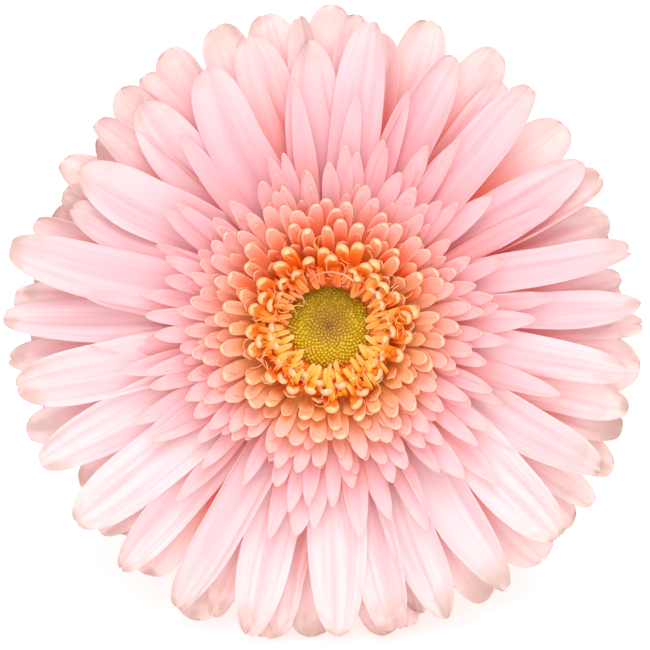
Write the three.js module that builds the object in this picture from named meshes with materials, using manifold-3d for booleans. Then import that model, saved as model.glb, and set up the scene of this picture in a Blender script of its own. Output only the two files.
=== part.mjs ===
// A cut gerbera with a crested head, lying on a flat surface. The head rests on the tips of its lowest
// ray petals with its face turned up by HEAD_TILT, and the scape runs back from it down to the surface.
//
// Everything on the head is modelled in the head's own frame: +Z is the way the face looks, +Y is the
// top of the face, and azimuths run clockwise from +Y as seen from the front. Millimetres and degrees.
import * as THREE from 'three';
import { mergeVertices } from 'three/addons/utils/BufferGeometryUtils.js';
import Module from 'manifold-3d';

const wasm = await Module();
wasm.setup();

// ---------------------------------------------------------------- driving dimensions
const HEAD_TILT = 22; // how far the face looks up from the horizontal
const HEAD_RADIUS = 57; // axis to the tips of the ray petals
const CLAW_RADIUS = 12.6; // axis to the foot of a ray petal
const GAP = 0.3; // clearance between neighbouring pieces

const RAY_THICKNESS = 0.9;
const RAY_SPREAD = 1.12; // a ray petal's width over the width of it that its neighbours leave in sight
const TRANS_THICKNESS = 0.8;
const NEIGHBOUR_LIFT = 0.75; // every second ray petal of a whorl lies this much higher, the others lower

const DISC_RADIUS = 6.9;
const DISC_HEIGHT = 6.8;

const RECEPTACLE_RADIUS = CLAW_RADIUS - GAP;
const RECEPTACLE_TOP = -0.3;
const INVOLUCRE_BASE = -15.5; // height of the neck on which the bracts sit
const INVOLUCRE_RADIUS = 15.4;
const INVOLUCRE_WALL = 1.2;
const NECK_RADIUS = 3.6;
const BRACT_COUNT = 20;
const BRACT_LENGTH = 12;
const BRACT_WIDTH = 2.7;
const BRACT_THICKNESS = 0.9;

const SCAPE_RADIUS = 2.4;
const SCAPE_SWELL = 1.0; // extra radius at the neck
const SWELL_SHARE = 0.12; // share of the scape's length over which that fades away
const SCAPE_REACH = 205; // from the neck back to the cut end, measured along the surface
const SCAPE_STRAIGHT = 38; // how far the scape runs on along the head's axis
const SCAPE_SIDES = 8;
const SCAPE_STEPS = 26;

// Height of each layer above the ray petals' plane: at the claws, the pull in between, and at the tips.
const LAYERS = {
  rayBack: { foot: -5.2, pull: 0.6, tip: -1.6 },
  rayMiddle: { foot: -3.4, pull: 4.6, tip: 1.8 },
  rayFront: { foot: -1.6, pull: 9.0, tip: 5.0 },
  transOuter: { foot: 0.8, pull: 12.6, tip: 6.4 },
  transMiddle: { foot: 3.0, pull: 17.5, tip: 6.0 },
  transInner: { foot: 5.4, pull: 20.5, tip: 2.0 },
};

// Outlines as [share of the length, share of the full width].
const RAY_OUTLINE = [[0, 0.3], [0.2, 0.52], [0.45, 0.86], [0.66, 1], [0.83, 0.9], [0.95, 0.55], [1, 0.14]];
const RAY_BACK_OUTLINE = [[0, 0.3], [0.35, 0.62], [0.64, 1], [0.88, 0.76], [1, 0.12]];
const TRANS_LONG_OUTLINE = [[0, 0.3], [0.35, 0.8], [0.62, 1], [0.88, 0.5], [1, 0.08]];
const TRANS_SHORT_OUTLINE = [[0, 0.22], [0.55, 1], [0.84, 0.8], [1, 0.12]];
const BRACT_OUTLINE = [[0, 1], [0.6, 0.8], [1, 0.1]];

// The rings on which the crowns stand, from the disc outward.
const RINGS = {
  discHooked: { inner: 7.2, outer: 8.0, top: 2.0 },
  discOpen: { inner: 8.3, outer: 9.2, top: 2.4 },
  transInner: { inner: 9.5, outer: 10.2 },
  transMiddle: { inner: 10.5, outer: 11.3 },
  transOuter: { inner: 11.6, outer: 12.8 },
};

// Ray petals as [azimuth of the tip, reach from the axis, width that shows].
const RAYS_FRONT = [
  [8, 55.3, 7.0], [25, 53.6, 7.6], [40.5, 56.2, 7.7], [57.5, 54.4, 7.2], [76, 55.8, 5.2],
  [86, 56.3, 5.0], [99, 54.2, 5.6], [118, 55.4, 8.3], [132.5, 56.2, 8.6], [146, 57.2, 8.6],
  [158.3, 56.7, 6.7], [167.5, 56.0, 8.1], [178.3, 55.8, 8.1], [194.5, 57.4, 7.4], [208, 57.6, 7.2],
  [220.6, 57.4, 5.9], [232, 57.6, 8.6], [244.5, 57.6, 7.6], [259, 57.2, 7.6], [271.5, 58.7, 6.5],
  [284, 59.0, 7.6], [294.5, 51.1, 6.7], [302, 53.1, 8.6], [320, 52.6, 8.1], [334.5, 51.3, 8.1],
  [356.5, 51.7, 8.3],
];
const RAYS_MIDDLE = [
  [5, 56.5, 5.8], [35.5, 54.0, 6.1], [61.3, 56.0, 6.1], [69.5, 54.2, 7.2], [81, 53.6, 5.4],
  [89.5, 56.7, 5.8], [105.4, 56.0, 5.4], [123.8, 57.6, 4.9], [150.3, 57.1, 6.8], [165, 56.2, 5.0],
  [189.2, 56.5, 5.0], [202, 56.5, 4.9], [228, 55.6, 5.4], [250.6, 58.0, 6.1], [264, 58.1, 5.4],
  [275, 57.2, 6.5], [289.5, 56.2, 5.0], [296.5, 53.8, 5.8], [311, 55.8, 7.2], [323.5, 56.3, 6.1],
  [344.5, 54.4, 7.6], [354.5, 56.2, 5.8],
];
const RAYS_BACK = [
  [0.2, 58.3, 6.1], [10, 54.0, 6.0], [19, 58.3, 9.0], [30.6, 58.5, 7.6], [40.5, 54.0, 6.5],
  [49.5, 56.2, 7.2], [61, 53.0, 6.5], [73, 53.1, 6.5], [85.5, 53.5, 6.5], [97.5, 56.9, 8.6],
  [109.3, 56.3, 5.0], [117.5, 57.6, 6.1], [128.7, 56.9, 5.4], [137.8, 57.6, 7.6], [149, 55.0, 7.0],
  [161.5, 54.7, 6.0], [170, 56.9, 7.2], [183, 56.3, 6.1], [192, 57.6, 6.5], [205, 58.7, 6.1],
  [217, 56.0, 6.8], [227, 53.6, 6.0], [237, 53.5, 6.0], [252.5, 54.5, 6.0], [267.5, 54.0, 6.0],
  [279, 54.0, 6.0], [291, 54.0, 6.0], [301.8, 56.9, 5.4], [309.5, 54.0, 6.0], [318, 57.2, 6.5],
  [330.4, 58.0, 6.8], [340, 58.1, 6.8], [348, 57.8, 6.5],
];

// The long pointed crest florets that lie on the ray petals, as [azimuth, reach, width].
const TRANS_OUTER = [
  [6.5, 41.9, 4.7], [18.8, 44.6, 5.4], [30, 36.9, 5.0], [34.5, 41.6, 4.0], [51, 37.3, 4.3],
  [62.5, 47.5, 6.1], [82, 41.2, 5.4], [89.3, 37.1, 4.3], [105.5, 43.4, 5.4], [132, 41.6, 5.0],
  [139, 36.6, 4.7], [153, 40.9, 5.4], [164, 36.6, 4.7], [170.5, 38.3, 5.0], [183, 36.6, 4.0],
  [187.5, 38.2, 4.3], [195.5, 39.6, 5.8], [220.5, 41.9, 5.0], [235.5, 37.6, 5.0], [240, 38.0, 4.0],
  [243.5, 39.4, 4.3], [257, 38.5, 4.3], [264, 43.2, 5.8], [276, 43.9, 3.2], [304, 36.9, 4.7],
  [321.5, 43.7, 5.8], [352, 44.8, 4.3],
];
// The shorter crest florets in front of them, as [azimuth, reach].
const TRANS_MIDDLE_WIDTH = 3.2;
const TRANS_MIDDLE = [
  [1.5, 29.7], [6, 32.9], [10.3, 31.9], [16, 35.0], [19, 33.7], [23, 30.6], [28, 32.6], [33, 29.7],
  [42, 30.6], [48, 32.2], [70, 34.4], [78, 30.2], [85, 30.8], [95, 32.6], [103.5, 29.3], [112, 31.7],
  [113.5, 34.2], [118, 29.7], [124, 34.6], [128.5, 34.2], [137, 29.7], [143.5, 33.1], [151.5, 29.3],
  [157, 30.6], [173, 29.5], [178, 32.6], [187, 32.6], [191.3, 34.2], [198, 30.6], [209, 32.6],
  [222, 34.2], [228.5, 31.9], [237, 29.5], [243.5, 29.2], [250, 34.2], [256.3, 34.7], [267, 31.5],
  [273.5, 33.1], [281, 34.2], [287.3, 31.0], [292, 32.0], [296.5, 34.4], [309.5, 35.1], [312, 28.8],
  [323, 29.0], [333.5, 29.0], [339, 29.5], [342, 32.4], [346, 32.4], [351.5, 28.8],
];
// The innermost crest florets stand in even whorls: count, reach, width and first azimuth of each.
const TRANS_INNER_WHORLS = [
  { count: 18, reach: 27.2, width: 2.9, first: 4 },
  { count: 18, reach: 23.6, width: 2.8, first: 14 },
];

// Open disc florets: upright, hooded, with a swollen tip.
const OPEN_WHORLS = [
  { count: 14, foot: 8.5, reach: 16.8, rise: 10.9, width: 2.4, first: 0 },
  { count: 14, foot: 8.5, reach: 13.2, rise: 9.0, width: 1.9, first: 12.9 },
];
// Closed disc florets that hook inward over the edge of the bud dome.
const HOOKED = { count: 12, foot: 7.6, reach: 6.4, rise: 8.4, width: 1.5, first: 5 };

// ---------------------------------------------------------------- finishes
const finish = (color, roughness) => new THREE.MeshStandardMaterial({ color, roughness, metalness: 0 });
const FINISHES = {
  rayFront: () => finish(0xfcdce0, 0.55),
  rayMiddle: () => finish(0xfacdd2, 0.55),
  rayBack: () => finish(0xf5bdc4, 0.6),
  transOuter: () => finish(0xfab6b8, 0.5),
  transMiddle: () => finish(0xf89a90, 0.5),
  transInner: () => finish(0xf47a50, 0.45),
  discOpen: () => finish(0xf28a34, 0.4),
  discHooked: () => finish(0xf0b050, 0.45),
  discBuds: () => finish(0xa59a1e, 0.6),
  flesh: () => finish(0xdfe6c0, 0.7),
  bract: () => finish(0x6f8f3e, 0.65),
  scape: () => finish(0x86a24c, 0.6),
};

// ---------------------------------------------------------------- shape helpers
const radians = THREE.MathUtils.degToRad;
const lerp = THREE.MathUtils.lerp;

// Height of a layer at a distance from the axis.
function layerHeight(layer, distance) {
  const t = (distance - CLAW_RADIUS) / (HEAD_RADIUS - CLAW_RADIUS);
  return layer.foot * (1 - t) ** 2 + 2 * layer.pull * t * (1 - t) + layer.tip * t ** 2;
}

// A closed body through rings of points, each ring with the same number of points.
function loft(rings) {
  const sides = rings[0].length;
  const points = rings.flat();
  const index = [];
  for (let ring = 0; ring < rings.length - 1; ring += 1) {
    for (let side = 0; side < sides; side += 1) {
      const near = ring * sides + side;
      const nearNext = ring * sides + ((side + 1) % sides);
      index.push(near, nearNext, nearNext + sides, near, nearNext + sides, near + sides);
    }
  }
  const last = (rings.length - 1) * sides;
  for (let side = 1; side < sides - 1; side += 1) {
    index.push(0, side + 1, side);
    index.push(last, last + side, last + side + 1);
  }
  const geometry = new THREE.BufferGeometry().setFromPoints(points);
  geometry.setIndex(index);
  return geometry;
}

// The lens-shaped section of a leafy organ: left edge, crown, right edge, keel.
function lensRing(centre, across, up, halfWidth, halfThickness) {
  return [
    centre.clone().addScaledVector(across, -halfWidth),
    centre.clone().addScaledVector(up, halfThickness),
    centre.clone().addScaledVector(across, halfWidth),
    centre.clone().addScaledVector(up, -halfThickness),
  ];
}

// A petal that runs out along +Y over its layer. Its foot may stand at another azimuth than its tip.
function petal({ reach, width, layer, outline, thickness, footTurn = 0, lift = 0, start = CLAW_RADIUS }) {
  const across = new THREE.Vector3(1, 0, 0);
  const up = new THREE.Vector3(0, 0, 1);
  const rings = outline.map(([along, share]) => {
    const distance = lerp(start, reach, along);
    const turn = radians(footTurn) * (1 - THREE.MathUtils.smoothstep(along, 0, 0.7));
    const height = layerHeight(layer, distance) + lift * Math.min(1, 3 * along);
    const centre = new THREE.Vector3(distance * Math.sin(turn), distance * Math.cos(turn), height);
    return lensRing(centre, across, up, (width * share) / 2, thickness / 2);
  });
  return loft(rings);
}

// An upright floret that bends from its foot to its tip: its swollen tip is a share of its width.
function uprightFloret({ foot, reach, rise, width }, base) {
  const path = new THREE.QuadraticBezierCurve3(
    new THREE.Vector3(0, foot, base),
    new THREE.Vector3(0, foot + 0.05 * (reach - foot), rise),
    new THREE.Vector3(0, reach, rise),
  );
  const across = new THREE.Vector3(1, 0, 0);
  const shares = [0.45, 0.8, 1, 0.75];
  const rings = shares.map((share, step) => {
    const along = step / (shares.length - 1);
    const up = across.clone().cross(path.getTangent(along));
    return lensRing(path.getPoint(along), across, up, (width * share) / 2, (width * share) / 5);
  });
  return loft(rings);
}

// A ring of rectangular section around the axis.
function annulus(inner, outer, bottom, top, segments = 24) {
  const corners = [[inner, bottom], [outer, bottom], [outer, top], [inner, top], [inner, bottom]];
  const profile = corners.map(([distance, height]) => new THREE.Vector2(distance, height));
  return new THREE.LatheGeometry(profile, segments).rotateX(Math.PI / 2);
}

// A turned solid whose profile starts and ends on the axis.
function turned(profile, segments) {
  const points = profile.map(([distance, height]) => new THREE.Vector2(distance, height));
  return new THREE.LatheGeometry(points, segments).rotateX(Math.PI / 2);
}

function solidOf(geometry) {
  const bare = geometry.clone();
  bare.deleteAttribute('normal');
  bare.deleteAttribute('uv');
  const merged = mergeVertices(bare, 1e-4);
  const vertProperties = new Float32Array(merged.attributes.position.array);
  const triVerts = new Uint32Array(merged.index.array);
  return new wasm.Manifold(new wasm.Mesh({ numProp: 3, vertProperties, triVerts }));
}

// Several geometries that grow together, joined into one body.
function joined(geometries) {
  const body = geometries.map(solidOf).reduce((sum, next) => sum.add(next));
  const { vertProperties, triVerts } = body.getMesh();
  const geometry = new THREE.BufferGeometry();
  geometry.setAttribute('position', new THREE.BufferAttribute(new Float32Array(vertProperties), 3));
  geometry.setIndex(Array.from(triVerts));
  return geometry;
}

function mesh(name, geometry, material) {
  const piece = new THREE.Mesh(geometry, material);
  piece.name = name;
  return piece;
}

const twoDigits = (number) => String(number).padStart(2, '0');

// ---------------------------------------------------------------- ray petals
// Each claw stands halfway between the petal's own azimuth and its even share of the circle.
function footTurns(whorl) {
  const share = 360 / whorl.length;
  const drift = whorl.reduce((sum, [azimuth], place) => sum + azimuth - place * share, 0) / whorl.length;
  return whorl.map(([azimuth], place) => (drift + place * share - azimuth) / 2);
}

// Each petal of the whorl is its own piece; neighbours lie alternately high and low.
function rayWhorl(name, whorl, layer, makeFinish) {
  const turns = footTurns(whorl);
  const group = new THREE.Group();
  whorl.forEach(([azimuth, reach, width], place) => {
    const lift = place % 2 === 0 ? NEIGHBOUR_LIFT : -NEIGHBOUR_LIFT;
    const footTurn = turns[place];
    const shape = petal({
      reach, layer, footTurn, lift, width: RAY_SPREAD * width, outline: RAY_OUTLINE,
      thickness: RAY_THICKNESS,
    });
    const piece = mesh(`${name}_${twoDigits(place + 1)}`, shape, makeFinish());
    piece.rotation.z = -radians(azimuth);
    group.add(piece);
  });
  return group;
}

// The back whorl grows from one ring around the receptacle.
function backWhorl() {
  const layer = LAYERS.rayBack;
  const ringWidth = 1.6;
  const half = RAY_THICKNESS / 2;
  const ring = annulus(CLAW_RADIUS, CLAW_RADIUS + ringWidth, layer.foot - half, layer.foot + half);
  const start = CLAW_RADIUS + ringWidth / 4;
  const petals = RAYS_BACK.map(([azimuth, reach, width]) => petal({
    reach, width, layer, start, outline: RAY_BACK_OUTLINE, thickness: RAY_THICKNESS,
  }).rotateZ(-radians(azimuth)));
  return mesh('ray_florets_back', joined([ring, ...petals]), FINISHES.rayBack());
}

// ---------------------------------------------------------------- crest florets
// A crown of crest florets on its own ring. Shorter florets lie higher, in front of the longer ones.
function crestCrown(name, florets, layer, outline, ring, makeFinish) {
  const liftForShortness = 0.12;
  const overPetals = 0.3; // how much higher the ring is than the middle of the petals' feet
  const longest = Math.max(...florets.map(({ reach }) => reach));
  const start = (ring.inner + ring.outer) / 2;
  const petals = florets.map(({ azimuth, reach, width }) => petal({
    reach, width, layer, outline, start, thickness: TRANS_THICKNESS,
    lift: liftForShortness * (longest - reach),
  }).rotateZ(-radians(azimuth)));
  const base = annulus(ring.inner, ring.outer, 0, layerHeight(layer, start) + overPetals);
  return mesh(name, joined([base, ...petals]), makeFinish());
}

// The same shape count times around the axis.
function evenWhorl({ count, first, ...shape }) {
  const step = 360 / count;
  return Array.from({ length: count }, (_, place) => ({ azimuth: first + place * step, ...shape }));
}

function crest() {
  const outer = TRANS_OUTER.map(([azimuth, reach, width]) => ({ azimuth, reach, width }));
  const middle = TRANS_MIDDLE.map(([azimuth, reach]) => ({ azimuth, reach, width: TRANS_MIDDLE_WIDTH }));
  const inner = TRANS_INNER_WHORLS.flatMap(evenWhorl);
  const group = new THREE.Group();
  group.add(
    crestCrown('trans_florets_outer', outer, LAYERS.transOuter, TRANS_LONG_OUTLINE,
      RINGS.transOuter, FINISHES.transOuter),
    crestCrown('trans_florets_middle', middle, LAYERS.transMiddle, TRANS_SHORT_OUTLINE,
      RINGS.transMiddle, FINISHES.transMiddle),
    crestCrown('trans_florets_inner', inner, LAYERS.transInner, TRANS_SHORT_OUTLINE,
      RINGS.transInner, FINISHES.transInner),
  );
  return group;
}

// ---------------------------------------------------------------- disc
// A crown of upright florets on its own ring.
function discCrown(name, whorls, ring, makeFinish) {
  const florets = whorls.flatMap((whorl) => evenWhorl(whorl).map(({ azimuth, ...shape }) => (
    uprightFloret(shape, ring.top / 2).rotateZ(-radians(azimuth)))));
  const base = annulus(ring.inner, ring.outer, 0, ring.top);
  return mesh(name, joined([base, ...florets]), makeFinish());
}

// The dome of unopened buds, with a small pit at its centre.
function budDome() {
  const shares = [[1, 0], [1, 0.47], [0.9, 0.72], [0.62, 0.93], [0.34, 1], [0.14, 0.96]];
  const pit = 0.88;
  const profile = shares.map(([out, up]) => [out * DISC_RADIUS, up * DISC_HEIGHT]);
  profile.unshift([0, 0]);
  profile.push([0, pit * DISC_HEIGHT]);
  return mesh('disc_buds', turned(profile, 20), FINISHES.discBuds());
}

// ---------------------------------------------------------------- behind the petals
function receptacle() {
  const rim = RECEPTACLE_RADIUS;
  const top = RECEPTACLE_TOP;
  const depth = 7.7;
  const rounding = 0.6;
  const profile = [
    [0, top - depth], [0.45 * rim, top - 0.95 * depth], [0.77 * rim, top - 0.75 * depth],
    [0.97 * rim, top - 0.56 * depth], [rim, top - 0.38 * depth], [rim, top - rounding],
    [rim - rounding, top], [0, top],
  ];
  return mesh('receptacle', turned(profile, 24), FINISHES.flesh());
}

// A green cup that holds the receptacle, with a row of pointed bracts around it.
function involucre() {
  const rim = INVOLUCRE_RADIUS;
  const brim = -6.2; // height of the cup's edge
  const outside = [
    [0, INVOLUCRE_BASE], [NECK_RADIUS, INVOLUCRE_BASE], [0.35 * rim, brim - 7.0],
    [0.62 * rim, brim - 4.4], [0.86 * rim, brim - 1.4], [rim, brim],
  ];
  const inner = rim - INVOLUCRE_WALL;
  const inside = [
    [inner, brim - 0.1], [0.89 * inner, brim - 0.8], [0.69 * inner, brim - 1.7],
    [0.4 * inner, brim - 3.0], [0, brim - 3.4],
  ];
  const cup = turned([...outside, ...inside], BRACT_COUNT);
  const foot = 0.61 * rim;
  const bracts = evenWhorl({ count: BRACT_COUNT, first: 0 }).map(({ azimuth }) => {
    const across = new THREE.Vector3(1, 0, 0);
    const path = new THREE.QuadraticBezierCurve3(
      new THREE.Vector3(0, foot, brim - 4.2),
      new THREE.Vector3(0, foot + 0.47 * BRACT_LENGTH, brim - 0.4),
      new THREE.Vector3(0, foot + BRACT_LENGTH, brim + 1.0),
    );
    const rings = BRACT_OUTLINE.map(([along, share]) => {
      const up = across.clone().cross(path.getTangent(along));
      return lensRing(path.getPoint(along), across, up, (BRACT_WIDTH * share) / 2, BRACT_THICKNESS / 2);
    });
    return loft(rings).rotateZ(-radians(azimuth));
  });
  return mesh('involucre', joined([cup, ...bracts]), FINISHES.bract());
}

// ---------------------------------------------------------------- scape
// The stalk leaves the neck along the head's axis and comes down to lie on the surface.
function scape(neck) {
  const axis = new THREE.Vector3(0, Math.cos(radians(HEAD_TILT)), -Math.sin(radians(HEAD_TILT)));
  const path = new THREE.CatmullRomCurve3([
    neck,
    neck.clone().addScaledVector(axis, SCAPE_STRAIGHT),
    new THREE.Vector3(2.5, neck.y + 0.42 * SCAPE_REACH, 0.36 * neck.z),
    new THREE.Vector3(3.5, neck.y + 0.7 * SCAPE_REACH, SCAPE_RADIUS + 2.2),
    new THREE.Vector3(-1, neck.y + SCAPE_REACH, SCAPE_RADIUS),
  ]);
  const frames = path.computeFrenetFrames(SCAPE_STEPS);
  const rings = [];
  for (let step = 0; step <= SCAPE_STEPS; step += 1) {
    const along = step / SCAPE_STEPS;
    const centre = path.getPointAt(along);
    const swell = 1 - THREE.MathUtils.smoothstep(along, 0, SWELL_SHARE);
    const radius = SCAPE_RADIUS + SCAPE_SWELL * swell;
    const ring = [];
    for (let side = 0; side < SCAPE_SIDES; side += 1) {
      const angle = (2 * Math.PI * side) / SCAPE_SIDES;
      ring.push(centre.clone()
        .addScaledVector(frames.normals[step], radius * Math.cos(angle))
        .addScaledVector(frames.binormals[step], radius * Math.sin(angle)));
    }
    rings.push(ring);
  }
  return mesh('scape', loft(rings), FINISHES.scape());
}

// ---------------------------------------------------------------- assembly
const head = new THREE.Group();
head.add(
  receptacle(),
  involucre(),
  backWhorl(),
  rayWhorl('ray_middle', RAYS_MIDDLE, LAYERS.rayMiddle, FINISHES.rayMiddle),
  rayWhorl('ray_front', RAYS_FRONT, LAYERS.rayFront, FINISHES.rayFront),
  crest(),
  discCrown('disc_florets_open', OPEN_WHORLS, RINGS.discOpen, FINISHES.discOpen),
  discCrown('disc_florets_hooked', [HOOKED], RINGS.discHooked, FINISHES.discHooked),
  budDome(),
);
head.rotation.x = radians(90 - HEAD_TILT);

// The head stands on its lowest petal tips, and the scape starts just behind its neck.
head.position.z = -new THREE.Box3().setFromObject(head, true).min.z;
head.updateMatrixWorld(true);
const neck = head.localToWorld(new THREE.Vector3(0, 0, INVOLUCRE_BASE - GAP));

const flower = new THREE.Group();
flower.add(head, scape(neck));

// The origin is the middle of the footprint, on the surface.
const gerbera = new THREE.Group();
gerbera.add(flower);
const bounds = new THREE.Box3().setFromObject(gerbera, true);
const middle = bounds.getCenter(new THREE.Vector3());
flower.position.set(-middle.x, -middle.y, -bounds.min.z);

export default gerbera;
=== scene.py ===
"""A cut gerbera with a crested pink head, lying on its side, seen along the axis of its head.

Lengths are millimetres in the head's own frame while a surface is being shaped: x to the right, y to
the top of the face and z the way the face looks, with azimuths clockwise from the top. Every mesh is
turned into the frame's metres when it becomes an object.
"""

import math

import bpy
import numpy as np
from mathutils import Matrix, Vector


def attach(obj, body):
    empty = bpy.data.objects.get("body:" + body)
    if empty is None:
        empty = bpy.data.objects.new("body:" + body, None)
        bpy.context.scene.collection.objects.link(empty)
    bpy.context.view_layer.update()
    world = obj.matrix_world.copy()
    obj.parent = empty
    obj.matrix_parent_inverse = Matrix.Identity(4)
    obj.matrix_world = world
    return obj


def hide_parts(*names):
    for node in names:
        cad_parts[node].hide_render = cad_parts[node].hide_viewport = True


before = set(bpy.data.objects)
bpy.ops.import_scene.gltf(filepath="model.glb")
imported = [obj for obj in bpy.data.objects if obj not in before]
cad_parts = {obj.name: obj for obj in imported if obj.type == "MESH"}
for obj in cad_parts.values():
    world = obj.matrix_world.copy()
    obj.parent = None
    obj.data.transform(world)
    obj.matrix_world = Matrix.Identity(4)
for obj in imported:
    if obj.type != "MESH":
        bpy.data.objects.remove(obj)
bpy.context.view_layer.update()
scene = bpy.context.scene

# ---- driving values
HEAD_TILT = math.radians(22)  # how far the face looks up
RECEPTACLE_TOP = -0.3  # height of the receptacle's top in the head's frame
DISC_RADIUS = 7.3
GOLDEN_ANGLE = 137.508
SEED = 7

RAY_THICKNESS = 0.45
RAY_SPREAD = 1.21  # half width of a ray petal over that of its CAD solid
RAY_HALF_LIMIT = 5.4
CREST_THICKNESS = 0.55
CREST_PEAK = 23  # distance from the axis at which the crest florets stand highest
KNOB_THICKNESS = 1.0
CROWN_LEAN = 2.0  # how far the crowns' feet lie towards the bottom of the face from their tips
FILLER_COUNT = 144  # crest florets that fill the gaps of the inner crown
FILLER_DROP = 1.8  # how much lower than the others they end
BARE_TOP = 32.0  # degrees from the top within which the disc's outer small florets are left out
STAR_COUNT = 42
STYLE_COUNT = 110
BUD_COUNT = 460
STALK_SINK = 1.2  # how far the stalk goes on into the head

# Rings of hooked disc florets as (count, distance from the edge of the buds, height, degrees left
# bare on each side of the top)
HOOKED_RINGS = [(50, 0.0, 7.1, 0.0), (44, 1.3, 7.3, 0.0), (36, 2.6, 7.2, BARE_TOP)]

# The knobs, which are the larger open disc florets, as (azimuth, distance from the axis)
KNOBS = [
    (24, 11.1), (34.5, 10.4), (48, 10.4), (59.5, 11.0), (70, 10.6), (86.5, 11.3), (92, 12.0),
    (105.5, 10.8), (116, 11.4), (126, 10.9), (139, 10.3), (154.5, 10.8), (166.5, 11.2), (179, 12.2),
    (187.5, 10.7), (195, 12.4), (208.5, 10.1), (220, 11.0), (233, 11.5), (246.5, 10.4), (258, 11.0),
    (270, 10.6), (288, 11.7), (300, 10.8), (314, 12.1), (330, 11.7), (344.5, 10.4), (4, 13.0),
    (12, 15.3), (22.5, 16.4), (31, 13.5), (36.5, 14.9), (42, 12.8), (53.5, 13.0), (68.5, 14.0),
    (84, 15.1), (79.5, 16.6), (100, 15.3), (114, 14.6), (134, 13.0), (151.5, 14.0), (159, 15.7),
    (180, 15.7), (210.5, 13.9), (222, 13.3), (231.5, 14.9), (251, 15.3), (256.5, 13.5), (268.5, 15.2),
    (281, 14.9), (294.5, 13.9), (305, 15.5), (323, 15.1), (332, 16.6), (339.5, 13.1), (354.5, 14.4),
]
# The narrow crest florets next to the knobs, as (azimuth, reach)
CREST_FIRST = [
    (0.8, 18.6), (8.5, 20.0), (16, 20.0), (31, 18.4), (39.5, 19.1), (47.5, 17.9), (63, 19.6),
    (86, 20.5), (110, 19.1), (122, 18.4), (149, 18.0), (159, 18.2), (178, 19.1), (194.5, 17.7),
    (216, 18.4), (231.5, 20.2), (234, 18.2), (268, 18.4), (282, 20.0), (288, 17.5), (307, 19.1),
    (340, 20.0), (346, 18.5),
]
# The other crest florets of the inner crown, as (azimuth, reach)
CREST_INNER = [
    (2.5, 21.8), (8, 23.4), (15, 26.8), (19, 25.2), (26, 23.4), (27, 21.8), (34.5, 23.0), (37.5, 28.4),
    (41, 26.8), (47, 23.2), (52, 23.2), (56, 27.2), (62, 22.5), (66, 28.4), (66, 25.6), (69, 22.8),
    (72.5, 27.9), (73.5, 24.1), (82.5, 26.5), (83.5, 28.4), (89, 24.0), (94, 28.2), (100, 26.6),
    (97, 21.5), (107, 24.5), (107.5, 22.7), (111, 20.4), (119, 28.4), (121, 22.7), (126, 26.1),
    (132, 22.0), (137, 26.4), (142, 20.5), (143, 28.1), (141.5, 24.7), (146.5, 22.9), (151, 24.1),
    (156.5, 22.9), (160, 27.2), (165.5, 24.8), (172, 20.9), (174, 26.6), (183.5, 25.9), (186, 21.4),
    (190.5, 27.5), (195.5, 22.7), (200, 27.7), (204, 22.3), (207, 25.6), (214.5, 24.8), (218, 23.6),
    (221, 27.2), (226, 20.5), (225, 26.3), (230, 28.6), (233, 23.4), (238, 26.5), (244, 21.6),
    (245, 24.7), (250, 27.6), (256, 20.5), (255, 24.1), (258, 25.7), (260, 27.7), (264, 23.0),
    (267.5, 26.3), (274, 21.2), (275.5, 27.7), (280, 26.1), (286.5, 24.5), (289, 26.8), (293, 22.7),
    (296.5, 20.9), (297, 26.3), (299, 27.5), (301.5, 25.2), (304, 26.6), (310, 25.9), (313.5, 21.4),
    (312.5, 27.2), (317, 24.1), (324.5, 25.4), (328, 21.2), (332, 24.8), (338, 26.6), (340.5, 23.9),
    (341.5, 26.8), (345.5, 22.3), (353, 22.7), (352, 28.6), (359, 23.6),
]
# A long pink style that lies in an arc over the top of the disc
STYLE_ARC = [(-3.4, 8.0, 8.6), (-2.2, 9.1, 9.4), (0.0, 9.7, 9.9), (2.6, 9.2, 9.7), (4.4, 8.1, 8.9)]

rng = np.random.default_rng(SEED)
uniform = rng.uniform


# ---- the frame's places
# The head's own directions: the way its face looks, and its top.
FACE = np.array([0.0, -math.cos(HEAD_TILT), math.sin(HEAD_TILT)])
TOP = np.array([0.0, math.sin(HEAD_TILT), math.cos(HEAD_TILT)])
AXES = np.stack([np.array([1.0, 0.0, 0.0]), TOP, FACE])
MM = 0.001  # a millimetre in the frame's metres


def cad_corners(node):
    """The corners of a CAD node, each once, in metres, and which of them each of its vertices is."""
    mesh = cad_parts[node].data
    flat = np.empty(len(mesh.vertices) * 3)
    mesh.vertices.foreach_get("co", flat)
    corners, which = np.unique(flat.reshape(-1, 3).round(6), axis=0, return_inverse=True)
    return corners, which.ravel()


def cad_points(node):
    """The corners of a CAD node, each once, in metres."""
    return cad_corners(node)[0]


def head_centre():
    """The point on the head's axis at height 0: the receptacle is turned about that axis."""
    spans = cad_points("receptacle") @ AXES.T
    middle = (spans.min(0) + spans.max(0)) / 2
    return np.array([middle[0], middle[1], spans[:, 2].max() - RECEPTACLE_TOP * MM]) @ AXES


CENTRE = head_centre()


def to_head(points):
    """Points of the frame, in the head's own millimetres."""
    return (points - CENTRE) @ AXES.T / MM


def to_frame(points):
    """Points given in the head's own millimetres, in the frame."""
    return points * MM @ AXES + CENTRE


def turn(points, azimuth):
    """Turns what points along +y to an azimuth in degrees."""
    c, s = math.cos(math.radians(azimuth)), math.sin(math.radians(azimuth))
    x, y, z = points.T
    return np.stack([x * c + y * s, y * c - x * s, z], axis=1)


def stations(points, axis, gap):
    """Groups points that lie across an axis into stations, split where the axis has a gap."""
    order = points[np.argsort(points[:, axis])]
    cuts = np.flatnonzero(np.diff(order[:, axis]) > gap) + 1
    return np.split(order, cuts)


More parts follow.
